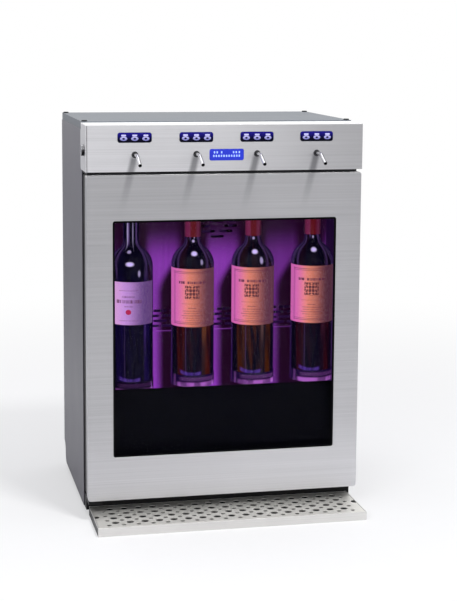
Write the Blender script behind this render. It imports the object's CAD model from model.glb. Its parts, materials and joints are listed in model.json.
"""Looks of a four-bottle wine dispensing cabinet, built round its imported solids."""

import json
import logging
import math
from dataclasses import dataclass, field
from enum import Enum
from typing import Iterable, Optional, Sequence, Union

import bmesh
import bpy
from mathutils import Matrix, Vector


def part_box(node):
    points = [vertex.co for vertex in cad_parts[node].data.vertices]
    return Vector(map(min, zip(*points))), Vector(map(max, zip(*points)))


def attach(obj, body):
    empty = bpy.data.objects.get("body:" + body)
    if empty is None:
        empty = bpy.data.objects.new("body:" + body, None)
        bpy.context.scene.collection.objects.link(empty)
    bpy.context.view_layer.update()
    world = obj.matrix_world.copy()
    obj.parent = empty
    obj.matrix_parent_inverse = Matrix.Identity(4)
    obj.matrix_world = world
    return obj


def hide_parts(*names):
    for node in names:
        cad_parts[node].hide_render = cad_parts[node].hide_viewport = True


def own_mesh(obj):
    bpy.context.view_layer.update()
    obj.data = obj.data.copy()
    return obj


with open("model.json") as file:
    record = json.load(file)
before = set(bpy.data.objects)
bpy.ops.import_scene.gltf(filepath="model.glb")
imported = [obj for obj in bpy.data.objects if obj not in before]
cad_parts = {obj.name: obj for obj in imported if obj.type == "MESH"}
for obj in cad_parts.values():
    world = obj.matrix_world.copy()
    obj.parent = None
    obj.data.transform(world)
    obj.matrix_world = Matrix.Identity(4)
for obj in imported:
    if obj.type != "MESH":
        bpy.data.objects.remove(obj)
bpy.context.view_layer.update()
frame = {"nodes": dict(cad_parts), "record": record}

MM = 0.001
STATIONS = range(1, 5)
SPOUT_PITCH = 0.105
SMOOTH_ANGLE = math.radians(35)
log = logging.getLogger("cabinet")

Colour = tuple[float, float, float]
Point = tuple[float, float, float]
Link = Union[float, "Expr", bpy.types.NodeSocket]


class Grain(Enum):
    """The way a brushed sheet's scratches run."""

    ALONG_X = (3.0, 900.0, 900.0)
    ALONG_Y = (900.0, 3.0, 900.0)


class Axis(Enum):
    """A row axis, as an index."""

    X = 0
    Y = 1
    Z = 2


# ---------------------------------------------------------------- shaders


class Expr:
    """A number on a shader link, so that shader sums read as sums."""

    def __init__(self, sheet: "ShaderSheet", socket: bpy.types.NodeSocket) -> None:
        """Wraps an output socket.

        Args:
            sheet: The material's sheet, which adds the nodes.
            socket: The socket that gives the number.
        """
        self.sheet = sheet
        self.socket = socket

    def math(self, operation: str, *others: Link) -> "Expr":
        """Adds one Math node.

        Args:
            operation: The node's operation.
            others: The operands after this one.

        Returns:
            The node's result.
        """
        values = {i: v for i, v in enumerate((self, *others))}
        node = self.sheet.node("ShaderNodeMath", {"operation": operation}, values)
        return Expr(self.sheet, node.outputs[0])

    def __add__(self, other: Link) -> "Expr":
        """This plus other."""
        return self.math("ADD", other)

    __radd__ = __add__

    def __sub__(self, other: Link) -> "Expr":
        """This minus other."""
        return self.math("SUBTRACT", other)

    def __rsub__(self, other: float) -> "Expr":
        """Other minus this."""
        return (self * -1.0) + other

    def __mul__(self, other: Link) -> "Expr":
        """This times other."""
        return self.math("MULTIPLY", other)

    __rmul__ = __mul__

    def __truediv__(self, other: Link) -> "Expr":
        """This over other."""
        return self.math("DIVIDE", other)

    def __pow__(self, power: float) -> "Expr":
        """This to a power."""
        return self.math("POWER", power)

    def __abs__(self) -> "Expr":
        """The size without the sign."""
        return self.math("ABSOLUTE")

    def ramp(self, low: float, high: float) -> "Expr":
        """Rises smoothly from 0 at low to 1 at high."""
        node = self.sheet.node(
            "ShaderNodeMapRange",
            {"interpolation_type": "SMOOTHSTEP"},
            {"Value": self, "From Min": low, "From Max": high},
        )
        return Expr(self.sheet, node.outputs["Result"])

    def band(self, middle: float, half: float, soft: float) -> "Expr":
        """Is 1 within half of middle, and falls to 0 over soft."""
        return 1.0 - abs(self - middle).ramp(half, half + soft)

    def max(self, other: Link) -> "Expr":
        """The larger of the two."""
        return self.math("MAXIMUM", other)

    def about(self, middle: Link, swing: float) -> "Expr":
        """Turns a noise into a number that varies by swing about middle."""
        return (self - 0.5) * swing + middle


class ShaderSheet:
    """The node tree of a material or the world, with short calls that fill it."""

    def __init__(
        self, owner: Union[bpy.types.Material, bpy.types.World], ending: str = "ShaderNodeOutputMaterial"
    ) -> None:
        """Empties the owner's tree.

        Args:
            owner: The material or the world.
            ending: The type of its output node.
        """
        self.owner = owner
        owner.use_nodes = True
        self.tree = owner.node_tree
        self.tree.nodes.clear()
        self.output = self.node(ending)

    def node(
        self,
        kind: str,
        settings: Optional[dict[str, object]] = None,
        sockets: Optional[dict[Union[int, str], object]] = None,
    ) -> bpy.types.Node:
        """Adds a node.

        Args:
            kind: The node's type.
            settings: Its own settings, set before its sockets.
            sockets: Values or links for its inputs, by name or place.

        Returns:
            The new node.
        """
        node = self.tree.nodes.new(kind)
        for key, value in (settings or {}).items():
            setattr(node, key, value)
        for key, value in (sockets or {}).items():
            target = node.inputs[key]
            if isinstance(value, Expr):
                value = value.socket
            if isinstance(value, bpy.types.NodeSocket):
                self.tree.links.new(value, target)
            else:
                target.default_value = value
        return node

    def place(self, stretch: Sequence[float] = (1, 1, 1)) -> bpy.types.NodeSocket:
        """Object coordinates, stretched."""
        coords = self.node("ShaderNodeTexCoord")
        mapping = self.node(
            "ShaderNodeMapping",
            {"vector_type": "POINT"},
            {"Vector": coords.outputs["Object"], "Scale": stretch},
        )
        return mapping.outputs[0]

    def axes(self) -> tuple[Expr, Expr, Expr]:
        """Object coordinates as three numbers, in metres."""
        coords = self.node("ShaderNodeTexCoord")
        split = self.node("ShaderNodeSeparateXYZ", None, {0: coords.outputs["Object"]})
        return tuple(Expr(self, out) for out in split.outputs)

    def noise(
        self, scale: float, detail: float = 3.0, stretch: Sequence[float] = (1, 1, 1), rough: float = 0.5
    ) -> Expr:
        """Fractal noise on object coordinates.

        Args:
            scale: Cells a metre, before the stretch.
            detail: Octaves.
            stretch: Factors along the three axes.
            rough: How strong the finer octaves are.

        Returns:
            The noise, about 0.5 in the middle.
        """
        node = self.node(
            "ShaderNodeTexNoise",
            None,
            {"Vector": self.place(stretch), "Scale": scale, "Detail": detail, "Roughness": rough},
        )
        return Expr(self, node.outputs[0])

    def flat_noise(self, across: Link, along: Link, detail: float = 0.0) -> Expr:
        """Noise on a plane that two numbers span."""
        place = self.node("ShaderNodeCombineXYZ", None, {0: across, 1: along}).outputs[0]
        sockets = {"Vector": place, "Scale": 1.0, "Detail": detail}
        return Expr(self, self.node("ShaderNodeTexNoise", {"noise_dimensions": "2D"}, sockets).outputs[0])

    def angle_round(self, centre: tuple[float, float], turn: float) -> Expr:
        """The angle about an upright axis, 0 at the front, plus a turn."""
        x, y, _ = self.axes()
        return (x - centre[0]).math("ARCTAN2", (y - centre[1]) * -1.0) + turn

    def seen_by(self, *rays: str) -> Expr:
        """Is 1 for the kinds of ray that are named."""
        path = self.node("ShaderNodeLightPath")
        found = Expr(self, path.outputs[rays[0]])
        for ray in rays[1:]:
            found = found.max(Expr(self, path.outputs[ray]))
        return found

    def mix(self, factor: Link, low: object, high: object) -> bpy.types.NodeSocket:
        """A colour between low and high."""
        node = self.node("ShaderNodeMix", {"data_type": "RGBA"}, {0: factor, 6: rgba(low), 7: rgba(high)})
        return node.outputs[2]

    def scaled(self, colour: object, level: Link) -> bpy.types.NodeSocket:
        """A colour times a number."""
        node = self.node("ShaderNodeVectorMath", {"operation": "SCALE"}, {0: rgba(colour), "Scale": level})
        return node.outputs[0]

    def normals(self) -> tuple[Expr, Expr, Expr]:
        """The way that the surface faces, as three numbers."""
        split = self.node(
            "ShaderNodeSeparateXYZ", None, {0: self.node("ShaderNodeNewGeometry").outputs["Normal"]}
        )
        return tuple(Expr(self, out) for out in split.outputs)

    def bump(self, height: Link, distance: float, strength: float = 1.0) -> bpy.types.NodeSocket:
        """A normal from a height.

        Args:
            height: The height, from 0 to 1.
            distance: What 1 stands for, in metres.
            strength: How much of it shows.

        Returns:
            The bumped normal.
        """
        sockets = {"Height": height, "Distance": distance, "Strength": strength}
        return self.node("ShaderNodeBump", None, sockets).outputs[0]

    def blend(self, factor: Link, low: bpy.types.Node, high: bpy.types.Node) -> bpy.types.Node:
        """A shader between two shaders."""
        return self.node("ShaderNodeMixShader", None, {0: factor, 1: low.outputs[0], 2: high.outputs[0]})

    def end(self, shader: bpy.types.Node) -> Union[bpy.types.Material, bpy.types.World]:
        """Joins a shader to the output and gives the owner back."""
        self.tree.links.new(shader.outputs[0], self.output.inputs[0])
        return self.owner

    def surface(self, **sockets: object) -> bpy.types.Material:
        """Ends the material in one Principled shader.

        Args:
            sockets: Its inputs, with underscores for spaces.

        Returns:
            The finished material.
        """
        values = {key.replace("_", " "): value for key, value in sockets.items()}
        for key in values:
            if key.endswith("Color"):
                values[key] = rgba(values[key])
        return self.end(self.node("ShaderNodeBsdfPrincipled", None, values))

    def lit(self, shade: object, glow: float, share: float = 1.0, **sockets: object) -> bpy.types.Material:
        """Ends the material in a Principled shader that gives off light of its own colour.

        Args:
            shade: The colour.
            glow: Strength of its own light.
            share: Share of the colour that reflects.
            sockets: Its other inputs, with underscores for spaces.

        Returns:
            The finished material.
        """
        plain = shade if share == 1.0 else self.scaled(shade, share)
        return self.surface(Base_Color=plain, Emission_Color=shade, Emission_Strength=glow, **sockets)


def rgba(value: object) -> object:
    """Gives a colour its alpha, and leaves a link alone."""
    return (*value, 1.0) if isinstance(value, tuple) and len(value) == 3 else value


_made: dict[object, bpy.types.Material] = {}


@dataclass(frozen=True)
class Finish:
    """A finish that is made once and then shared."""

    name: str

    def material(self) -> bpy.types.Material:
        """The material, made at the first call."""
        if self not in _made:
            _made[self] = self.build(ShaderSheet(bpy.data.materials.new(self.name)))
        return _made[self]

    def build(self, sheet: ShaderSheet) -> bpy.types.Material:
        """Fills a sheet; each finish has its own."""
        raise NotImplementedError


@dataclass(frozen=True)
class BrushedSteel(Finish):
    """Stainless sheet with fine parallel scratches."""

    tint: Colour = (0.63, 0.625, 0.64)
    grain: Grain = Grain.ALONG_X
    rough: float = 0.34
    metal: float = 0.92
    left: float = 1.0
    right: float = 1.0
    span: tuple[float, float] = (-0.05, 0.24)
    foot: float = 1.0
    foot_z: tuple[float, float] = (0.05, 0.19)
    smear: float = 0.0
    smear_foot: tuple[float, float] = (0.525, 0.615)
    smear_top: float = 0.628
    smear_lean: float = 0.24
    edge_x: float = -0.2378
    crest_z: Optional[float] = None
    inner: Optional[tuple[float, float, float]] = None

    def build(self, sheet: ShaderSheet) -> bpy.types.Material:
        """Streaks of tone, roughness and height along the grain.

        The tone slopes from left to right and is lighter at the foot. The spouts leave faint
        upright smears under them. A fold at crest_z is bright, with a dark line at edge_x, and
        a trough that inner gives by its half length, its front and its rim height is dark inside.
        """
        fine = sheet.noise(1.0, 4.0, self.grain.value, 0.65)
        broad = sheet.noise(0.3, 2.0, self.grain.value, 0.5)
        cloud = sheet.noise(5.0, 2.0)
        tone = (fine - 0.5) * 0.7 + (broad - 0.5) * 0.34 + (cloud - 0.5) * 0.16
        low = tuple(c * 0.74 for c in self.tint)
        high = tuple(min(1.0, c * 1.22) for c in self.tint)
        shade = sheet.mix(tone + 0.5, low, high)
        x, y, z = sheet.axes()
        if self.left != self.right or self.foot != 1.0:
            level = x.ramp(*self.span) * (self.right - self.left) + self.left
            shade = sheet.scaled(shade, level * ((1.0 - z.ramp(*self.foot_z)) * (self.foot - 1.0) + 1.0))
        if self.smear > 0.0:
            lean = (z * -1.0 + self.smear_top) * self.smear_lean
            off = abs(((x + lean) / SPOUT_PITCH).math("FRACT") - 0.5) * SPOUT_PITCH
            top = 1.0 - z.ramp(self.smear_top - 0.006, self.smear_top + 0.004)
            streak = (1.0 - off.ramp(0.002, 0.0095)) * z.ramp(*self.smear_foot) * top
            shade = sheet.mix(streak * self.smear, shade, (0.05, 0.05, 0.06))
        if self.crest_z is not None:
            shade = sheet.mix(x.band(self.edge_x, 0.0003, 0.0006) * 0.8, shade, (0.02, 0.02, 0.025))
            shade = sheet.mix(z.ramp(self.crest_z - 0.0022, self.crest_z - 0.0012), shade, (1.0, 1.0, 1.0))
        if self.inner is not None:
            half, front, rim = self.inner
            below = 1.0 - z.ramp(rim, rim + 0.0003)
            within = x.band(0.0, half, 0.0003) * y.ramp(front, front + 0.0003) * below
            shade = sheet.mix(within, shade, (0.012, 0.012, 0.013))
        return sheet.surface(
            Base_Color=shade,
            Metallic=self.metal,
            Roughness=(fine - 0.5) * 0.28 + cloud.about(self.rough, 0.08),
            Normal=sheet.bump(fine, 0.00002, 0.6),
        )


@dataclass(frozen=True)
class PolishedMetal(Finish):
    """Turned or plated metal with faint wear."""

    tint: Colour = (0.72, 0.72, 0.74)
    rough: float = 0.14
    shadow: float = 1.0

    def build(self, sheet: ShaderSheet) -> bpy.types.Material:
        """Smudges in the gloss, a trace of waviness and a tarnished underside."""
        smudge = sheet.noise(60.0, 3.0)
        shade = sheet.mix(smudge, tuple(c * 0.9 for c in self.tint), self.tint)
        if self.shadow < 1.0:
            across, _, up = sheet.normals()
            level = (up * 0.75 - across * 0.65).ramp(-0.25, 0.75) * (1.0 - self.shadow) + self.shadow
            shade = sheet.scaled(shade, level)
        return sheet.surface(
            Base_Color=shade,
            Metallic=1.0,
            Roughness=smudge.about(self.rough, 0.16),
            Normal=sheet.bump(sheet.noise(420.0, 2.0), 0.00002, 0.3),
        )


@dataclass(frozen=True)
class Coating(Finish):
    """Powder coat, moulded plastic or rubber: a tone, a grain and a sheen."""

    tint: Colour = (0.17, 0.165, 0.185)
    rough: float = 0.45
    pebble: float = 900.0
    depth: float = 0.00006
    vary: float = 0.12
    coat: float = 0.0
    metal: float = 0.0
    gloss: float = 0.5
    crown: float = 1.0
    crown_z: tuple[float, float] = (0.35, 0.68)

    def build(self, sheet: ShaderSheet) -> bpy.types.Material:
        """Fine pebbles, broad patches, a slight change of gloss and a lighter top."""
        grain = sheet.noise(self.pebble, 2.0)
        patch = sheet.noise(9.0, 4.0)
        low = tuple(c * (1 - self.vary) for c in self.tint)
        high = tuple(min(1.0, c * (1 + self.vary)) for c in self.tint)
        shade = sheet.mix((patch - 0.5) * 1.4 + grain.about(0.5, 0.5), low, high)
        if self.crown != 1.0:
            shade = sheet.scaled(shade, sheet.axes()[2].ramp(*self.crown_z) * (self.crown - 1.0) + 1.0)
        return sheet.surface(
            Base_Color=shade,
            Metallic=self.metal,
            Roughness=(patch - 0.5) * 0.12 + grain.about(self.rough, 0.1),
            Normal=sheet.bump(grain, self.depth, 0.5),
            Coat_Weight=self.coat,
            Coat_Roughness=0.12,
            Specular_IOR_Level=self.gloss,
        )


@dataclass(frozen=True)
class LitPlastic(Finish):
    """Chamber plastic under violet light: a tone that glows a little."""

    dark: Colour = (0.004, 0.0006, 0.012)
    tint: Colour = (0.03, 0.006, 0.07)
    glow: float = 0.6
    fade_z: tuple[float, float] = (0.2, 0.56)

    def build(self, sheet: ShaderSheet) -> bpy.types.Material:
        """Brighter near the foot light, with broad patches."""
        _, _, z = sheet.axes()
        patch = sheet.noise(7.0, 3.0)
        grain = sheet.noise(700.0, 2.0)
        level = (1.0 - z.ramp(*self.fade_z) * 0.7) * patch.about(0.9, 0.8)
        shade = sheet.mix(level, self.dark, self.tint)
        return sheet.lit(
            shade, self.glow, Roughness=grain.about(0.42, 0.12), Normal=sheet.bump(grain, 0.00004, 0.4)
        )


@dataclass(frozen=True)
class LitPanel(Finish):
    """The chamber's back wall: violet light from the foot and the left, broken by the bottles."""

    first_x: float = -0.105
    pitch: float = 0.109
    step_z: float = 0.302
    dark: Colour = (0.014, 0.0008, 0.014)
    bright: Colour = (0.31, 0.05, 0.53)
    glow: float = 0.8
    spread_z: tuple[float, float] = (0.37, 0.455)
    top_z: tuple[float, float] = (0.42, 0.492)
    foot_z: tuple[float, float] = (0.19, 0.26)
    right_x: tuple[float, float] = (0.05, 0.12)
    left_x: tuple[float, float] = (-0.165, -0.15)

    def build(self, sheet: ShaderSheet) -> bpy.types.Material:
        """A bright strip beside each bottle that widens and fades upwards."""
        x, y, z = sheet.axes()
        grain = sheet.noise(700.0, 2.0)
        waves = sheet.noise(1.0, 2.0, (160.0, 1.0, 6.0))
        phase = ((x - self.first_x) / self.pitch).math("FRACT")
        reach = z.ramp(*self.spread_z) * 0.33 + 0.115
        fall = ((phase - reach) / 0.085).ramp(-1.0, 1.0)
        rise = phase.ramp(0.86, 1.0)
        strip = (1.0 - fall).max(rise)
        height = (1.0 - z.ramp(*self.top_z) * 0.955) * (1.0 - z.ramp(*self.foot_z) * 0.12)
        across = 1.0 - x.ramp(*self.right_x) * 0.42
        left = 1.0 - (1.0 - x.ramp(*self.left_x)) * 0.85
        flat = abs(sheet.normals()[1]).ramp(0.3, 0.7)
        level = strip * height * across * left * waves.about(1.0, 0.5) * flat
        edge = z.band(self.step_z - 0.0004, 0.0007, 0.0007) * (1.0 - y.ramp(-0.003, -0.0015))
        level = level.max(edge * (strip * 0.7 + 0.3) * across * 1.4)
        shade = sheet.mix(level, self.dark, self.bright)
        return sheet.lit(
            shade,
            self.glow,
            0.35,
            Roughness=grain.about(0.4, 0.12),
            Normal=sheet.bump(grain, 0.00004, 0.4),
            Specular_IOR_Level=0.15,
        )


@dataclass(frozen=True)
class ClearStand(Finish):
    """A bottle's stand of clear plastic, lit from below."""

    base_z: float = 0.235
    lit: Colour = (0.42, 0.12, 0.55)
    glow: float = 0.9
    centre_x: float = 0.0

    def build(self, sheet: ShaderSheet) -> bpy.types.Material:
        """A dark rim over bright patches, with a bright line at the left."""
        x, _, z = sheet.axes()
        u = (x - self.centre_x) / 0.0385
        patch = sheet.noise(1.0, 3.0, (70.0, 70.0, 26.0)).ramp(0.4, 0.62)
        low = 1.0 - z.ramp(self.base_z - 0.0125, self.base_z - 0.0085)
        level = low * (patch * 0.62 + 0.3) * u.band(0.05, 0.8, 0.12)
        line = u.band(-0.9, 0.02, 0.03) * (1.0 - z.ramp(self.base_z + 0.001, self.base_z + 0.003)) * 0.16
        rim = z.band(self.base_z - 0.0045, 0.0022, 0.002) * u.band(0.1, 0.7, 0.2) * 0.14
        shade = sheet.mix(level.max(line).max(rim), (0.008, 0.002, 0.03), self.lit)
        return sheet.lit(shade, self.glow, 0.4, Roughness=patch.about(0.2, 0.08), Specular_IOR_Level=0.25)


@dataclass(frozen=True)
class Glow(Finish):
    """A lit piece: a light strip, an icon or a display."""

    tint: Colour = (0.62, 0.2, 1.0)
    strength: float = 4.0
    cells: float = 160.0
    lit_y: Optional[float] = None
    lit_z: float = 0.2

    def build(self, sheet: ShaderSheet) -> bpy.types.Material:
        """Slightly uneven light; a strip is lit under lit_z and on its back face at lit_y."""
        uneven = sheet.noise(self.cells, 2.0)
        shade = sheet.mix(uneven, tuple(c * 0.8 for c in self.tint), self.tint)
        if self.lit_y is not None:
            _, y, z = sheet.axes()
            under = 1.0 - z.ramp(self.lit_z, self.lit_z + 0.002)
            lit = y.ramp(self.lit_y - 0.0004, self.lit_y - 0.0001).max(under)
            shade = sheet.mix(lit, (0.012, 0.004, 0.02), shade)
        return sheet.lit(shade, self.strength, Roughness=uneven.about(0.3, 0.1))


@dataclass(frozen=True)
class KeyGlass(Finish):
    """Keypad lacquer, navy above and black below."""

    middle_z: float = 0.6585
    half: float = 0.008

    def build(self, sheet: ShaderSheet) -> bpy.types.Material:
        """A tone that falls off down the pad, with a little light of its own."""
        _, _, z = sheet.axes()
        dust = sheet.noise(300.0, 3.0)
        rise = z.ramp(self.middle_z - self.half * 0.6, self.middle_z + self.half * 1.2)
        shade = sheet.mix(rise * dust.about(1.0, 0.3), (0.0006, 0.0006, 0.006), (0.008, 0.005, 0.14))
        return sheet.lit(
            shade,
            0.7,
            Roughness=dust.about(0.22, 0.1),
            Specular_IOR_Level=0.1,
            Normal=sheet.bump(dust, 0.00001, 0.3),
        )


@dataclass(frozen=True)
class KeyIcon(Finish):
    """A lit symbol behind the lacquer, dim at its lower rim."""

    middle_z: float = 0.6585

    def build(self, sheet: ShaderSheet) -> bpy.types.Material:
        """Lilac white at the top of the bar, blue grey at the foot of the ring."""
        _, _, z = sheet.axes()
        uneven = sheet.noise(420.0, 2.0)
        level = z.ramp(self.middle_z - 0.006, self.middle_z + 0.004) * uneven.about(0.95, 0.9)
        shade = sheet.mix(level, (0.16, 0.16, 0.46), (0.62, 0.6, 1.0))
        return sheet.lit(shade, 0.85, 0.2, Roughness=uneven.about(0.3, 0.1))


@dataclass(frozen=True)
class WindowGlass(Finish):
    """Clear float glass that lets most light straight through."""

    alpha: float = 0.03

    def build(self, sheet: ShaderSheet) -> bpy.types.Material:
        """Thin glass with a faint film of dust."""
        film = sheet.noise(14.0, 4.0)
        return sheet.surface(
            Base_Color=sheet.mix(film, (0.004, 0.004, 0.006), (0.01, 0.01, 0.014)),
            Roughness=film.about(0.03, 0.02),
            Alpha=film.about(self.alpha, 0.01),
            Specular_IOR_Level=0.2,
        )


@dataclass(frozen=True)
class Glint:
    """A small bright spot on a bottle: its place across, from -1 to 1, its height, size and level."""

    across: float
    height: float
    wide: float
    tall: float
    level: float


@dataclass(frozen=True)
class BottleGlass(Finish):
    """Dark bottle glass full of wine, with the light that comes through painted round the axis."""

    centre: tuple[float, float] = (0.0, 0.0)
    base_z: float = 0.235
    turn: float = 0.2
    core: Colour = (0.0012, 0.0008, 0.006)
    flank: Colour = (0.035, 0.003, 0.002)
    amber: Colour = (0.17, 0.045, 0.012)
    line: Colour = (0.06, 0.03, 0.12)
    foot: Colour = (0.06, 0.022, 0.22)
    amber_at: float = 0.54
    amber_half: float = 0.06
    warm: float = 0.5
    body_top: tuple[float, float] = (0.15, 0.2)
    shoulder: float = 0.215
    neck_foot: tuple[float, float] = (0.235, 0.245)
    glints: tuple[Glint, ...] = ()

    def build(self, sheet: ShaderSheet) -> bpy.types.Material:
        """Streaks across the half that faces out, a lit foot and bright thin edges."""
        z = sheet.axes()[2]
        u = sheet.angle_round(self.centre, self.turn).math("SINE")
        v = z - self.base_z
        grain = sheet.flat_noise(u * 5.0 + v * 6.0, v * 9.0, 3.0)
        body = 1.0 - v.ramp(*self.body_top)
        flanks = u.band(-0.54, 0.1, 0.14).max(u.band(0.72, 0.07, 0.1)) * (grain.ramp(0.3, 0.6) * 0.7 + 0.3)
        haze = u.band(-0.1, 0.4, 0.25) * grain.ramp(0.42, 0.7) * self.warm
        shade = sheet.mix(flanks.max(haze) * (body * 0.75 + 0.25), self.core, self.flank)
        glow = u.band(self.amber_at, self.amber_half, 0.07) * (v.ramp(0.045, 0.085) * 0.6 + 0.12)
        shade = sheet.mix(glow * body * (grain * 0.6 + 0.4), shade, self.amber)
        shade = sheet.mix(u.band(-0.31, 0.01, 0.02) * body * 0.4, shade, self.line)
        crescent = (v - u * u * 0.016).band(0.004, 0.0018, 0.0028) * u.band(-0.08, 0.4, 0.14)
        shade = sheet.mix(crescent * (grain.ramp(0.3, 0.62) * 0.75 + 0.2), shade, self.foot)
        edges = abs(u).ramp(0.93, 0.975) * (1.0 - abs(u).ramp(0.985, 1.0)) * (0.3 - u.ramp(-0.2, 0.2) * 0.2)
        shade = sheet.mix(edges, shade, self.foot)
        arcs = v.band(self.shoulder, 0.02, 0.02) * abs(u).band(0.78, 0.08, 0.14)
        shade = sheet.mix(arcs * grain.ramp(0.35, 0.65) * 0.8, shade, self.line)
        neck = v.ramp(*self.neck_foot)
        lines = u.band(-0.3, 0.05, 0.08).max(u.band(0.62, 0.06, 0.06))
        shade = sheet.mix(lines * neck * 0.9, shade, self.line)
        for glint in self.glints:
            away = ((u - glint.across) / glint.wide) ** 2.0 + ((z - glint.height) / glint.tall) ** 2.0
            spot = 1.0 - away.math("SQRT").ramp(0.45, 1.15)
            shade = sheet.mix(spot * glint.level, shade, (0.62, 0.5, 0.9))
        return sheet.lit(shade, 0.95, 0.6, Roughness=grain.about(0.06, 0.02), Specular_IOR_Level=0.06)


@dataclass(frozen=True)
class LabelPaper(Finish):
    """A wrapped paper label with plain printed marks and no words."""

    centre: tuple[float, float] = (0.0, 0.0)
    turn: float = 0.2
    radius: float = 0.038
    low_z: float = 0.3
    high_z: float = 0.4
    left: Colour = (0.72, 0.13, 0.5)
    right: Colour = (0.82, 0.24, 0.14)
    dusk: Colour = (0.05, 0.006, 0.03)
    ink: Colour = (0.1, 0.02, 0.06)
    accent: Colour = (0.06, 0.012, 0.03)
    framed: bool = True

    def build(self, sheet: ShaderSheet) -> bpy.types.Material:
        """Paper tone, a frame, rows of marks and a plain ornament."""
        angle = sheet.angle_round(self.centre, self.turn)
        u = angle * self.radius
        v = sheet.axes()[2] - self.low_z
        height = self.high_z - self.low_z
        fibre = sheet.noise(500.0, 4.0)
        across = angle.math("SINE")
        paper = sheet.mix(across.ramp(-0.85, -0.05), self.left, self.right)
        paper = sheet.mix(across.ramp(-0.45, 0.78) * 0.96, paper, self.dusk)
        paper = sheet.mix(fibre.about(0.04, 0.3), paper, (0.9, 0.6, 0.8))
        draw = self.marks_framed if self.framed else self.marks_plain
        shade = sheet.mix(draw(sheet, u, v, height), paper, self.ink)
        shade = sheet.mix(self.ornament(u, v - height * (0.6 if self.framed else 0.3)), shade, self.accent)
        return sheet.lit(
            shade,
            0.72,
            0.5,
            Roughness=fibre.about(0.55, 0.2),
            Normal=sheet.bump(fibre, 0.00004, 0.4),
            Specular_IOR_Level=0.1,
        )

    def row(self, sheet: ShaderSheet, u: Expr, v: Expr, level: float, half: float, tall: float) -> Expr:
        """A row of upright strokes of uneven width, which reads as print from afar.

        Args:
            sheet: The material's sheet.
            u: Length round the label.
            v: Height over the label's foot.
            level: Height of the row.
            half: Half of its length.
            tall: Half of its strokes' height.

        Returns:
            The row's mask.
        """
        strokes = sheet.flat_noise(u * (1.9 / tall), level * 900.0).ramp(0.36, 0.5)
        return v.band(level, tall, 0.0003) * u.band(0.0, half, 0.0004) * strokes

    def marks_framed(self, sheet: ShaderSheet, u: Expr, v: Expr, height: float) -> Expr:
        """A double frame, a title row and fine rows under the ornament."""
        half = self.radius * 0.97
        found = self.row(sheet, u, v, height * 0.765, 0.028, 0.0021) * 0.9
        for level, length, depth in (
            (0.4, 0.019, 0.25), (0.325, 0.007, 0.7), (0.275, 0.017, 0.55), (0.235, 0.015, 0.5),
            (0.195, 0.019, 0.55), (0.155, 0.016, 0.45), (0.115, 0.012, 0.35),
        ):
            found = found.max(self.row(sheet, u, v, height * level, length, 0.0008) * depth)
        for inset, wide in ((0.0, 0.0005), (0.0026, 0.0003)):
            middle = height / 2
            lines = abs(u).band(half - inset, wide, 0.0003) * v.band(middle, middle - 0.004, 0.0003)
            levels = abs(v - middle).band(middle - 0.0055 - inset, wide, 0.0003)
            found = found.max(lines.max(levels * abs(u).band(0.0, half, 0.0003)) * 0.6)
        return found

    def marks_plain(self, sheet: ShaderSheet, u: Expr, v: Expr, height: float) -> Expr:
        """A few quiet rows and one large one."""
        found = self.row(sheet, u, v, height * 0.545, 0.023, 0.0028) * 0.75
        for level, length, tall, depth in (
            (0.8, 0.017, 0.0006, 0.5),
            (0.655, 0.011, 0.0014, 0.6),
            (0.43, 0.007, 0.0011, 0.5),
            (0.1, 0.017, 0.0005, 0.45),
        ):
            found = found.max(self.row(sheet, u, v, height * level, length, tall) * depth)
        return found

    def ornament(self, u: Expr, w: Expr) -> Expr:
        """A lattice block on the framed label, a plain seal on the other."""
        if not self.framed:
            return ((u * u + w * w * 1.15) ** 0.5).band(0.0, 0.0046, 0.0005) * 0.95
        knots = (u * w * 90000.0).math("SINE") * 0.4
        lattice = abs((u * 620.0).math("SINE") * (w * 560.0).math("SINE") + knots)
        block = u.band(0.0, 0.0125, 0.0008) * w.band(0.0, 0.0115, 0.0008)
        return lattice.ramp(0.16, 0.34) * block * 0.9


@dataclass(frozen=True)
class CapsuleFoil(Finish):
    """Crimped foil over a bottle's neck."""

    centre: tuple[float, float] = (0.0, 0.0)
    turn: float = 0.2
    left: Colour = (0.21, 0.022, 0.09)
    middle: Colour = (0.13, 0.003, 0.01)
    right: Colour = (0.14, 0.016, 0.055)

    def build(self, sheet: ShaderSheet) -> bpy.types.Material:
        """Fine creases up the foil, rosy at the left and dark red in the middle."""
        u = sheet.angle_round(self.centre, self.turn).math("SINE")
        crease = sheet.noise(1.0, 3.0, (600.0, 600.0, 60.0))
        tone = sheet.mix(u.ramp(0.3, 0.6), sheet.mix(u.ramp(-0.4, -0.15), self.left, self.middle), self.right)
        shade = sheet.scaled(tone, crease.about(0.95, 0.6) - abs(u).ramp(0.75, 1.0) * 0.6)
        return sheet.lit(
            shade,
            0.7,
            0.3,
            Metallic=0.2,
            Roughness=crease.about(0.42, 0.2),
            Normal=sheet.bump(crease, 0.0001, 0.5),
            Specular_IOR_Level=0.2,
        )


@dataclass(frozen=True)
class CircuitBoard(Finish):
    """Green board with tracks."""

    def build(self, sheet: ShaderSheet) -> bpy.types.Material:
        """Tracks from a cell pattern under lacquer."""
        cells = sheet.node(
            "ShaderNodeTexVoronoi",
            {"distance": "CHEBYCHEV", "feature": "F1"},
            {"Vector": sheet.place(), "Scale": 220.0},
        )
        track = Expr(sheet, cells.outputs["Distance"]).ramp(0.35, 0.42)
        return sheet.surface(
            Base_Color=sheet.mix(track, (0.01, 0.09, 0.035), (0.03, 0.2, 0.08)),
            Roughness=track * 0.1 + 0.35,
            Normal=sheet.bump(track, 0.00004, 0.5),
        )


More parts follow.
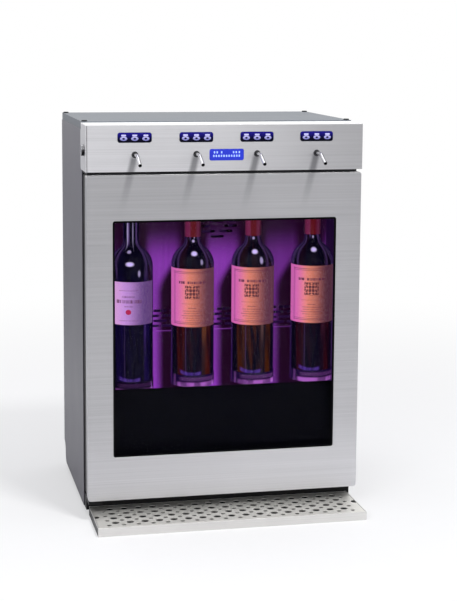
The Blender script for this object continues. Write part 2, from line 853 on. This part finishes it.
STEEL = BrushedSteel("brushed_steel", left=0.7, right=0.78, span=(-0.24, 0.1), foot=1.24, smear=0.35)
FASCIA_STEEL = BrushedSteel("fascia_steel", left=1.06, right=0.74, crest_z=0.6805, rough=0.38, smear=0.6)
PLATE_STEEL = BrushedSteel("plate_steel", tint=(0.78, 0.77, 0.73), rough=0.45, metal=0.75)
TRAY_STEEL = BrushedSteel(
    "tray_steel", tint=(0.72, 0.71, 0.69), rough=0.42, metal=0.8, inner=(0.2355, -0.2235, 0.0135)
)
CHROME = PolishedMetal("polished_steel", tint=(0.47, 0.47, 0.49), shadow=0.03)
ZINC = PolishedMetal("zinc_plate", tint=(0.5, 0.51, 0.54), rough=0.35)
CASING = Coating("casing_coat", tint=(0.105, 0.101, 0.119), metal=0.35, rough=0.42, crown=1.3)
ROOF = Coating("roof_coat", tint=(0.118, 0.134, 0.158), metal=0.35, rough=0.42)
BLACK_COAT = Coating("black_coat", tint=(0.006, 0.006, 0.007), rough=0.4, gloss=0.15)
BLACK_PLASTIC = Coating("black_plastic", tint=(0.007, 0.007, 0.008), rough=0.5, pebble=1400.0, gloss=0.2)
RUBBER = Coating("rubber", tint=(0.015, 0.015, 0.017), rough=0.7, pebble=1800.0, gloss=0.2)
BORDER = Coating("black_print", tint=(0.0008, 0.0008, 0.0012), rough=0.4, depth=0.000004, gloss=0.05)
MASK = Coating("black_mask", tint=(0.0006, 0.0006, 0.0022), rough=0.16, depth=0.000004, gloss=0.03)
FOAM = Coating("foam", tint=(0.78, 0.72, 0.55), rough=0.85, pebble=500.0, depth=0.0004)
HOSE = Coating("hose", tint=(0.5, 0.4, 0.42), rough=0.25, depth=0.00001, coat=0.4)
LINER = LitPlastic("chamber_plastic")
BACK_WALL = LitPanel("back_wall_light")
ICON = KeyIcon("key_icon")
DISPLAY = Glow("display_blue", tint=(0.006, 0.02, 0.42), strength=0.55, cells=90.0)
DISPLAY_INK = Glow("display_lines", tint=(0.3, 0.42, 0.9), strength=0.75, cells=400.0)
KEY_GLASS = KeyGlass("key_lacquer")
GLASS = WindowGlass("window_glass")
BOARD = CircuitBoard("circuit_board")


# ---------------------------------------------------------------- meshes


class Maker:
    """Turns bmesh work into finished pieces that ride on bodies."""

    @staticmethod
    def piece(name: str, mesh: bmesh.types.BMesh, finish: Finish, host: str) -> bpy.types.Object:
        """Makes an object from a bmesh and frees the bmesh.

        Args:
            name: The piece's name.
            mesh: Its shape, in the part's own frame.
            finish: Its finish.
            host: The CAD node that it belongs to, which gives its body and its slot.

        Returns:
            The new object.
        """
        data = bpy.data.meshes.new(name)
        mesh.to_mesh(data)
        mesh.free()
        data.polygons.foreach_set("use_smooth", [True] * len(data.polygons))
        data.set_sharp_from_angle(angle=SMOOTH_ANGLE)
        data.materials.append(finish.material())
        piece = bpy.data.objects.new(name, data)
        bpy.context.scene.collection.objects.link(piece)
        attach(piece, body_of_node(host))
        slot_of_node(host)
        return piece

    @staticmethod
    def slab(mesh: bmesh.types.BMesh, low: Point, high: Point, radius: float, axis: Axis = Axis.Y) -> None:
        """Adds a box with round corners about one axis.

        Args:
            mesh: The bmesh that it is added to.
            low: Its lowest corner.
            high: Its highest corner.
            radius: Corner radius seen along the axis.
            axis: The axis that the corners turn about.
        """
        size = Vector(high) - Vector(low)
        middle = (Vector(high) + Vector(low)) / 2
        place = Matrix.Translation(middle) @ Matrix.Diagonal((*size, 1.0))
        made = bmesh.ops.create_cube(mesh, size=1.0, matrix=place)
        corners = [e for e in edges_of(made["verts"]) if runs_along(e, axis)]
        bmesh.ops.bevel(
            mesh, geom=corners, offset=radius, segments=6, affect="EDGES", profile=0.5, material=-1,
            offset_type="OFFSET",
        )

    @staticmethod
    def face_front(mesh: bmesh.types.BMesh, faces: list[bmesh.types.BMFace]) -> None:
        """Turns a flat ring of faces to the front, before it gets its thickness.

        Args:
            mesh: The bmesh that holds them.
            faces: The ring's faces.
        """
        bmesh.ops.recalc_face_normals(mesh, faces=faces)
        if faces[0].normal.y > 0:
            bmesh.ops.reverse_faces(mesh, faces=faces)

    @staticmethod
    def softened(node: str, finish: Finish, width: float, segments: int = 2) -> bpy.types.Object:
        """Stands in for a CAD node with the same shape and eased edges.

        Args:
            node: The node's name.
            finish: Its finish.
            width: Width of the eased edge, in metres.
            segments: Facets across that edge.

        Returns:
            The new object.
        """
        source = frame["nodes"][node]
        mesh = bmesh.new()
        mesh.from_mesh(source.data)
        bmesh.ops.remove_doubles(mesh, verts=mesh.verts, dist=1e-6)
        bmesh.ops.dissolve_limit(
            mesh, angle_limit=math.radians(0.5), verts=mesh.verts, edges=mesh.edges, delimit={"NORMAL"}
        )
        piece = Maker.piece(node + "_shell", mesh, finish, node)
        bevel = piece.modifiers.new("eased_edges", "BEVEL")
        bevel.width = width
        bevel.segments = segments
        bevel.limit_method = "ANGLE"
        bevel.angle_limit = math.radians(50)
        bevel.harden_normals = True
        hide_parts(node)
        return piece

    @staticmethod
    def dress(node: str, finish: Finish) -> None:
        """Gives a CAD node its finish.

        Args:
            node: The node's name.
            finish: Its finish.
        """
        for holder in frame["nodes"][node].material_slots:
            holder.material = finish.material()


def edges_of(verts: Iterable[bmesh.types.BMVert]) -> list[bmesh.types.BMEdge]:
    """The edges that touch any of the vertices."""
    return list({e for v in verts for e in v.link_edges})


def runs_along(edge: bmesh.types.BMEdge, axis: Axis) -> bool:
    """Whether an edge is parallel to an axis."""
    run = edge.verts[1].co - edge.verts[0].co
    return abs(abs(run[axis.value]) - run.length) < 1e-7


def body_of_node(node: str) -> str:
    """The body that holds a node."""
    bodies = frame["record"]["behaviour"]["bodies"]
    return next(name for name, nodes in bodies.items() if node in nodes)


def slot_of_node(node: str) -> str:
    """The record's material slot of a node."""
    return next(s["material_slot"] for s in frame["record"]["subparts"] if s["node"] == node)


def revolve(
    mesh: bmesh.types.BMesh, outline: Sequence[tuple[float, float]], centre: Point, steps: int = 64
) -> None:
    """Spins an outline of radius and height about a vertical axis.

    Args:
        mesh: The bmesh that it is added to.
        outline: Points as (radius, height).
        centre: The axis's foot.
        steps: Facets round the axis.
    """
    verts = [mesh.verts.new((centre[0] + r, centre[1], centre[2] + z)) for r, z in outline]
    edges = [mesh.edges.new(pair) for pair in zip(verts, verts[1:])]
    bmesh.ops.spin(
        mesh, geom=verts + edges, cent=centre, axis=(0, 0, 1), angle=math.tau, steps=steps, use_merge=True
    )
    bmesh.ops.remove_doubles(mesh, verts=mesh.verts, dist=1e-7)
    bmesh.ops.recalc_face_normals(mesh, faces=mesh.faces)


# ---------------------------------------------------------------- sub-assemblies


@dataclass
class Casing:
    """The painted and brushed shell of the cabinet."""

    fold: float = 0.6 * MM
    coats: dict[str, Finish] = field(
        default_factory=lambda: {
            "side_panels": CASING,
            "top_cover": ROOF,
            "rear_panel": CASING,
            "front_frame": BLACK_COAT,
            "base_pan": BLACK_COAT,
            "hinge_plate": BLACK_COAT,
            "lower_hinge_bracket": BLACK_COAT,
            "feet": RUBBER,
            "top_plugs": BLACK_PLASTIC,
        }
    )

    def build(self) -> None:
        """Eases the folds that show and coats every sheet."""
        eased = {"side_panels": self.fold, "top_cover": self.fold, "lower_hinge_bracket": self.fold / 2}
        for node, coat in self.coats.items():
            if node in eased:
                Maker.softened(node, coat, eased[node])
            else:
                Maker.dress(node, coat)


@dataclass
class Fascia:
    """The control fascia with keypads, display, spouts and lock."""

    fold: float = 0.45 * MM
    icon_lift: float = 0.12 * MM
    ring_size: tuple[float, float] = (6.1 * MM, 3.5 * MM)
    ring_hole: tuple[float, float] = (2.3 * MM, 1.6 * MM)
    bar_size: tuple[float, float] = (8.0 * MM, 3.0 * MM)
    doses: tuple[str, ...] = ("small", "medium", "large")

    def build(self) -> None:
        """Makes the sheet, the pads and everything on them."""
        Maker.softened("fascia", FASCIA_STEEL, self.fold)
        Maker.softened("keypad_frames", KEY_GLASS, 0.3 * MM)
        for station in STATIONS:
            for dose in self.doses:
                node = f"key_{station}_{dose}"
                Maker.softened(node, KEY_GLASS, 0.3 * MM)
                self.icon(node)
        Maker.softened("display_unit", DISPLAY, 0.25 * MM)
        self.display_lines()
        Maker.dress("spouts", CHROME)
        Maker.softened("lock_housing", CHROME, 0.8 * MM, 3)
        Maker.dress("lock_cylinder", CHROME)

    def icon(self, node: str) -> None:
        """A bowl ring with a bar over it, on one key.

        Args:
            node: The key's node.
        """
        low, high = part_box(node)
        x = (low[0] + high[0]) / 2
        face = low[1]
        middle = (low[2] + high[2]) / 2
        mesh = bmesh.new()
        self.flat_ring(mesh, (x, face - self.icon_lift, middle - 1.8 * MM))
        width, height = self.bar_size
        bar_z = middle + 3.6 * MM
        Maker.slab(
            mesh,
            (x - width / 2, face - self.icon_lift, bar_z - height / 2),
            (x + width / 2, face + self.icon_lift, bar_z + height / 2),
            0.8 * MM,
        )
        Maker.piece(node + "_icon", mesh, ICON, node)

    def flat_ring(self, mesh: bmesh.types.BMesh, centre: Point) -> None:
        """An upright oval ring, two loops bridged and thickened backwards.

        Args:
            mesh: The bmesh that it is added to.
            centre: The middle of its front face.
        """
        turn = Matrix.Translation(centre) @ Matrix.Rotation(math.pi / 2, 4, "X")
        loops = []
        for size in (self.ring_size, self.ring_hole):
            made = bmesh.ops.create_circle(
                mesh, segments=28, radius=1.0, matrix=turn @ Matrix.Diagonal((size[0], size[1], 1.0, 1.0))
            )
            loops += edges_of(made["verts"])
        faces = bmesh.ops.bridge_loops(mesh, edges=loops)["faces"]
        Maker.face_front(mesh, faces)
        bmesh.ops.solidify(mesh, geom=faces, thickness=2 * self.icon_lift)

    def display_lines(self) -> None:
        """Two rows of plain blocks on the display."""
        low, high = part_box("display_unit")
        face = low[1]
        rows = ((0.62, (0.12, 0.2, 0.33, 0.68, 0.76, 0.85)), (0.3, tuple(0.1 + 0.075 * k for k in range(11))))
        mesh = bmesh.new()
        inset = 3.0 * MM
        width = high[0] - low[0] - 2 * inset
        height = high[2] - low[2] - inset
        for level, places in rows:
            for place in places:
                x = low[0] + inset + width * place
                z = low[2] + inset / 2 + height * level
                Maker.slab(
                    mesh, (x, face - 0.08 * MM, z), (x + 2.3 * MM, face + 0.1 * MM, z + 3.6 * MM), 0.3 * MM
                )
        Maker.piece("display_blocks", mesh, DISPLAY_INK, "display_unit")


@dataclass
class Door:
    """The framed glass door."""

    fold: float = 1.1 * MM
    window_half: float = 195.0 * MM
    window_low: float = 110.5 * MM
    window_high: float = 518.5 * MM
    border: float = 3.5 * MM
    ink: float = 0.06 * MM

    def build(self) -> None:
        """Eases the skin's folds and finishes glass, border, frame, mask and gasket."""
        Maker.softened("door_skin", STEEL, self.fold, 3)
        Maker.dress("door_frame", BLACK_PLASTIC)
        Maker.dress("glass_panes", GLASS)
        Maker.dress("door_mask", MASK)
        Maker.softened("door_gasket", RUBBER, 1.2 * MM)
        self.printed_border()

    def printed_border(self) -> None:
        """The black print round the edge of the front pane."""
        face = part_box("glass_panes")[0][1]
        loops = []
        mesh = bmesh.new()
        for inset in (-4.0 * MM, self.border):
            half = self.window_half - inset
            low, high = self.window_low + inset, self.window_high - inset
            place = Matrix.Translation((0.0, face - self.ink, (low + high) / 2))
            size = Matrix.Diagonal((half, (high - low) / 2, 1.0, 1.0))
            upright = place @ Matrix.Rotation(math.pi / 2, 4, "X") @ size
            made = bmesh.ops.create_grid(mesh, x_segments=1, y_segments=1, size=1.0, matrix=upright)
            loops += edges_of(made["verts"])
            bmesh.ops.delete(mesh, geom=[v.link_faces[0] for v in made["verts"][:1]], context="FACES_ONLY")
        faces = bmesh.ops.bridge_loops(mesh, edges=loops)["faces"]
        Maker.face_front(mesh, faces)
        bmesh.ops.solidify(mesh, geom=faces, thickness=self.ink)
        Maker.piece("window_border", mesh, BORDER, "door_mask")


@dataclass
class Chamber:
    """The lit inside of the cabinet."""

    strip_back_y: float = -70.0 * MM
    spring_reach: float = 50.0 * MM
    lift_travel: float = 28.0 * MM

    def build(self) -> None:
        """Finishes the liner, the slotted panel, the lights and the lifts' base."""
        for node, finish in {
            "liner": LINER,
            "back_panel": BACK_WALL,
            "led_strips": Glow("light_strip", strength=5.0, lit_y=self.strip_back_y),
            "lower_screen": MASK,
            "lift_base": ZINC,
            "dispense_heads": CHROME,
        }.items():
            Maker.dress(node, finish)
        for number in STATIONS:
            self.spring(number)

    def spring(self, number: int) -> None:
        """One lift's spring, which shortens as its lift goes down.

        Args:
            number: The lift's number, from the left.
        """
        low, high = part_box(f"bottle_{number}")
        middle = (low[0] + high[0]) / 2
        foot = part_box("lift_springs")[0][2]
        mesh = bmesh.new()
        mesh.from_mesh(frame["nodes"]["lift_springs"].data)
        others = [v for v in mesh.verts if abs(v.co.x - middle) > self.spring_reach]
        bmesh.ops.delete(mesh, geom=others, context="VERTS")
        bmesh.ops.remove_doubles(mesh, verts=mesh.verts, dist=1e-6)
        piece = Maker.piece(f"spring_{number}", mesh, ZINC, "lift_springs")
        rise = max(v.co.z for v in piece.data.vertices) - foot
        keep = (rise - self.lift_travel) / rise
        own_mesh(piece)
        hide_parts("lift_springs")


@dataclass
class Bottle:
    """One bottle on its lift, with its label and its capsule."""

    number: int
    capsule_low: Optional[float]
    glass: BottleGlass
    paper: LabelPaper
    turn: float
    label_reach: float = 164.0
    paper_gap: float = 0.12 * MM
    paper_sheet: float = 0.1 * MM
    neck: float = 14.0 * MM
    lip: float = 15.6 * MM
    lip_drop: tuple[float, float] = (9.0 * MM, 2.0 * MM)
    foil: float = 0.3 * MM

    @property
    def node(self) -> str:
        """The bottle's CAD node."""
        return f"bottle_{self.number}"

    def build(self) -> None:
        """Dresses the glass and the lift, and adds label and capsule."""
        low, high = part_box(self.node)
        centre = ((low[0] + high[0]) / 2, (low[1] + high[1]) / 2, 0.0)
        radius = (high[0] - low[0]) / 2
        Maker.dress(self.node, self.glass)
        glow = 0.3 if self.number == 1 else 0.9
        stand = ClearStand(f"clear_stand_{self.number}", base_z=low[2], centre_x=centre[0], glow=glow)
        Maker.softened(f"lift_{self.number}", stand, 0.6 * MM)
        self.label(centre, radius + self.paper_gap)
        if self.capsule_low is not None:
            self.capsule(centre, high[2])

    def label(self, centre: Point, radius: float) -> None:
        """A sheet wrapped round the front of the bottle.

        Args:
            centre: A point on the bottle's axis.
            radius: The sheet's radius.
        """
        mesh = bmesh.new()
        half = math.radians(self.label_reach / 2)
        foot = Vector((centre[0], centre[1] - radius, self.paper.low_z))
        start = Matrix.Rotation(-half - self.turn, 3, "Z") @ (foot - Vector(centre)) + Vector(centre)
        rise = Vector((0, 0, self.paper.high_z - self.paper.low_z))
        verts = [mesh.verts.new(start), mesh.verts.new(start + rise)]
        edge = mesh.edges.new(verts)
        bmesh.ops.spin(
            mesh, geom=verts + [edge], cent=centre, axis=(0, 0, 1), angle=2 * half, steps=48, use_merge=False
        )
        bmesh.ops.recalc_face_normals(mesh, faces=mesh.faces)
        mesh.faces.ensure_lookup_table()
        outward = mesh.faces[0].calc_center_median() - Vector(centre)
        if mesh.faces[0].normal.dot(Vector((outward.x, outward.y, 0))) < 0:
            bmesh.ops.reverse_faces(mesh, faces=mesh.faces)
        bmesh.ops.solidify(mesh, geom=list(mesh.faces), thickness=self.paper_sheet)
        Maker.piece(f"label_{self.number}", mesh, self.paper, self.node)

    def capsule(self, centre: Point, mouth_z: float) -> None:
        """A foil sleeve over the neck and the lip.

        Args:
            centre: A point on the bottle's axis.
            mouth_z: The height of the bottle's mouth.
        """
        neck, lip, foil = self.neck, self.lip, self.foil
        lip_low, lip_high = (mouth_z - drop for drop in self.lip_drop)
        outline = [
            (neck + 0.02 * MM, self.capsule_low),
            (neck + foil, self.capsule_low),
            (neck + foil, lip_low - 1.5 * MM),
            (lip + foil, lip_low),
            (lip + foil, lip_high),
            (neck + foil, lip_high + 0.8 * MM),
            (neck + foil, mouth_z),
            (neck - 1.0 * MM, mouth_z),
        ]
        mesh = bmesh.new()
        revolve(mesh, outline, centre)
        foil_finish = CapsuleFoil(f"capsule_foil_{self.number}", centre=centre[:2], turn=self.turn)
        Maker.piece(f"capsule_{self.number}", mesh, foil_finish, self.node)


@dataclass
class DripTray:
    """The tray and its perforated plate."""

    def build(self) -> None:
        """Eases the edges of both sheets."""
        Maker.softened("drip_tray", TRAY_STEEL, 0.35 * MM)
        Maker.softened("tray_grid", PLATE_STEEL, 0.25 * MM, 1)


@dataclass
class Innards:
    """What the closed shell hides."""

    def build(self) -> None:
        """Finishes each inner piece."""
        for node, finish in {
            "insulation": FOAM,
            "control_board": BOARD,
            "dispense_valves": BLACK_PLASTIC,
            "wine_hoses": HOSE,
            "gas_manifold": ZINC,
            "evaporator": ZINC,
            "fan_frame": BLACK_PLASTIC,
            "fan_rotor": BLACK_PLASTIC,
            "compressor": BLACK_COAT,
            "condenser": BLACK_COAT,
            "power_inlet": BLACK_PLASTIC,
        }.items():
            Maker.dress(node, finish)


# ---------------------------------------------------------------- studio


@dataclass
class Studio:
    """Camera, floor, lamps and backdrop."""

    eye: Point = (-0.54809, -2.63233, 0.8292)
    yaw: float = 0.2181
    pitch: float = 0.1354
    roll: float = 0.0067
    focal_px: float = 1508.33
    shift_px: float = -60.0
    frame_px: tuple[int, int] = (457, 601)
    sensor: float = 36.0
    floor_half: float = 14.0

    def build(self) -> None:
        """Sets up everything that isn't the cabinet."""
        self.camera()
        self.floor()
        self.world()
        self.lamp("key", (0.34, -1.1, 2.5), (0.0, -0.1, 0.4), 0.4, 30.0)
        self.lamp("fill", (-1.6, -2.4, 1.9), (0.0, 0.0, 0.35), 1.6, 26.0)
        self.lamp("top", (0.0, 0.5, 2.6), (0.0, 0.0, 0.3), 1.6, 14.0)
        bpy.context.scene.view_settings.view_transform = "Standard"

    def camera(self) -> None:
        """Stands the camera where the photograph was taken."""
        cos, sin = math.cos, math.sin
        ahead = Vector((sin(self.yaw) * cos(self.pitch), cos(self.yaw) * cos(self.pitch), -sin(self.pitch)))
        level = Vector((cos(self.yaw), -sin(self.yaw), 0.0))
        above = level.cross(ahead)
        right = level * cos(self.roll) + above * sin(self.roll)
        up = above * cos(self.roll) - level * sin(self.roll)
        data = bpy.data.cameras.new("camera")
        data.sensor_width = self.sensor
        data.lens = self.focal_px * self.sensor / self.frame_px[1]
        data.shift_y = self.shift_px / self.frame_px[1]
        data.clip_end = 100.0
        eye = bpy.data.objects.new("camera", data)
        turn = Matrix((right, up, -ahead)).transposed().to_4x4()
        eye.matrix_world = Matrix.Translation(self.eye) @ turn
        bpy.context.scene.collection.objects.link(eye)
        bpy.context.scene.camera = eye

    def floor(self) -> None:
        """A pale floor that fades into the white far off."""
        mesh = bmesh.new()
        bmesh.ops.create_grid(mesh, x_segments=8, y_segments=8, size=self.floor_half)
        data = bpy.data.meshes.new("floor")
        mesh.to_mesh(data)
        mesh.free()
        data.materials.append(self.floor_material())
        floor = bpy.data.objects.new("floor", data)
        bpy.context.scene.collection.objects.link(floor)

    def floor_material(self) -> bpy.types.Material:
        """Matt paper near the cabinet, plain white light past it."""
        sheet = ShaderSheet(bpy.data.materials.new("studio_floor"))
        x, y, _ = sheet.axes()
        away = ((x * x) + (y * y)) ** 0.5
        grain = sheet.noise(40.0, 3.0)
        paper = sheet.node(
            "ShaderNodeBsdfDiffuse",
            None,
            {"Color": sheet.mix(grain, (0.86, 0.86, 0.87), (0.88, 0.88, 0.885))},
        )
        white = sheet.node("ShaderNodeEmission", None, {"Color": (1, 1, 1, 1), "Strength": 1.0})
        seen = sheet.seen_by("Is Camera Ray", "Is Transmission Ray")
        fade = (away.ramp(0.25, 2.2) * 0.55 + 0.45) * seen
        return sheet.end(sheet.blend(fade, paper, white))

    def world(self) -> None:
        """White to the eye, and an even pale light on the cabinet."""
        world = bpy.data.worlds.new("studio")
        bpy.context.scene.world = world
        sheet = ShaderSheet(world, "ShaderNodeOutputWorld")
        light = sheet.node("ShaderNodeBackground", None, {"Color": (0.93, 0.94, 1.0, 1), "Strength": 0.55})
        white = sheet.node("ShaderNodeBackground", None, {"Color": (1, 1, 1, 1), "Strength": 1.0})
        seen = sheet.seen_by("Is Camera Ray", "Is Transmission Ray", "Is Glossy Ray")
        sheet.end(sheet.blend(seen, light, white))

    def lamp(self, name: str, place: Point, target: Point, size: float, power: float) -> None:
        """A soft square lamp.

        Args:
            name: Its name.
            place: Where it hangs.
            target: What it points at.
            size: Its side.
            power: Its power in watts.
        """
        data = bpy.data.lights.new(name, "AREA")
        data.size = size
        data.energy = power
        lamp = bpy.data.objects.new(name, data)
        aim = (Vector(target) - Vector(place)).to_track_quat("-Z", "Y")
        lamp.matrix_world = Matrix.Translation(place) @ aim.to_matrix().to_4x4()
        bpy.context.scene.collection.objects.link(lamp)


WINES: dict[int, dict[str, object]] = {
    1: {
        "flank": (0.004, 0.0012, 0.03),
        "amber": (0.05, 0.02, 0.16),
        "amber_at": 0.62,
        "amber_half": 0.01,
        "warm": 0.3,
        "glints": (
            Glint(-0.07, 0.437, 0.22, 0.0045, 0.9),
            Glint(0.36, 0.4205, 0.07, 0.0065, 0.4),
            Glint(-0.14, 0.457, 0.16, 0.003, 0.5),
            Glint(-0.45, 0.49, 0.12, 0.03, 0.5),
            Glint(0.2, 0.49, 0.09, 0.03, 0.3),
        ),
    },
    2: {
        "warm": 0.25,
        "glints": (
            Glint(0.09, 0.452, 0.2, 0.0045, 0.95),
            Glint(0.43, 0.4375, 0.07, 0.0055, 0.4),
            Glint(0.07, 0.472, 0.2, 0.003, 0.6),
            Glint(0.2, 0.482, 0.1, 0.007, 0.5),
        ),
    },
    3: {
        "flank": (0.042, 0.009, 0.002),
        "amber": (0.12, 0.055, 0.05),
        "amber_at": 0.46,
        "amber_half": 0.03,
        "warm": 0.7,
        "glints": (
            Glint(0.11, 0.453, 0.2, 0.0045, 0.95),
            Glint(0.41, 0.438, 0.09, 0.007, 0.5),
            Glint(0.06, 0.475, 0.18, 0.003, 0.5),
            Glint(0.2, 0.4855, 0.1, 0.0045, 0.5),
        ),
    },
    4: {
        "flank": (0.02, 0.001, 0.004),
        "amber": (0.05, 0.008, 0.02),
        "warm": 0.25,
        "glints": (Glint(0.09, 0.454, 0.2, 0.0045, 0.9), Glint(0.07, 0.475, 0.14, 0.003, 0.45)),
    },
}
LABEL_TURNS = {1: 0.29, 2: 0.21, 3: 0.28, 4: 0.28}
GLASS_TURNS = {1: 0.154, 2: 0.194, 3: 0.234, 4: 0.274}
CAPSULE_FOOT = 0.479
PLAIN_LABEL = {
    "low_z": 0.331,
    "high_z": 0.406,
    "left": (1.0, 0.5, 1.0),
    "right": (0.66, 0.33, 0.85),
    "dusk": (0.06, 0.02, 0.14),
    "accent": (0.45, 0.008, 0.06),
    "framed": False,
}
FRAMED_LABEL = {"low_z": 0.3236, "high_z": 0.426}


def bottles() -> list[Bottle]:
    """The four bottles, the first with a plainer label and a bare neck."""
    made = []
    for number in STATIONS:
        low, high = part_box(f"bottle_{number}")
        centre = ((low[0] + high[0]) / 2, (low[1] + high[1]) / 2)
        radius = (high[0] - low[0]) / 2
        turn = LABEL_TURNS[number]
        glass = BottleGlass(
            f"bottle_glass_{number}", centre=centre, base_z=low[2], turn=GLASS_TURNS[number], **WINES[number]
        )
        style = PLAIN_LABEL if number == 1 else FRAMED_LABEL
        paper = LabelPaper(f"label_paper_{number}", centre=centre, turn=turn, radius=radius, **style)
        capsule_low = None if number == 1 else CAPSULE_FOOT
        made.append(Bottle(number, capsule_low, glass, paper, turn))
    return made


def plain(box: Iterable[Iterable[float]]) -> list[list[float]]:
    """A box as plain lists of numbers."""
    return [[float(c) for c in corner] for corner in box]


def main() -> None:
    """Builds the studio and every sub-assembly in order."""
    logging.basicConfig(level=logging.INFO, format="%(message)s")
    studio = Studio()
    studio.build()
    for part in (Casing(), Fascia(), Door(), Chamber(), *bottles(), DripTray(), Innards()):
        part.build()
        log.info("built %s", type(part).__name__)


if __name__ == "__main__":
    main()
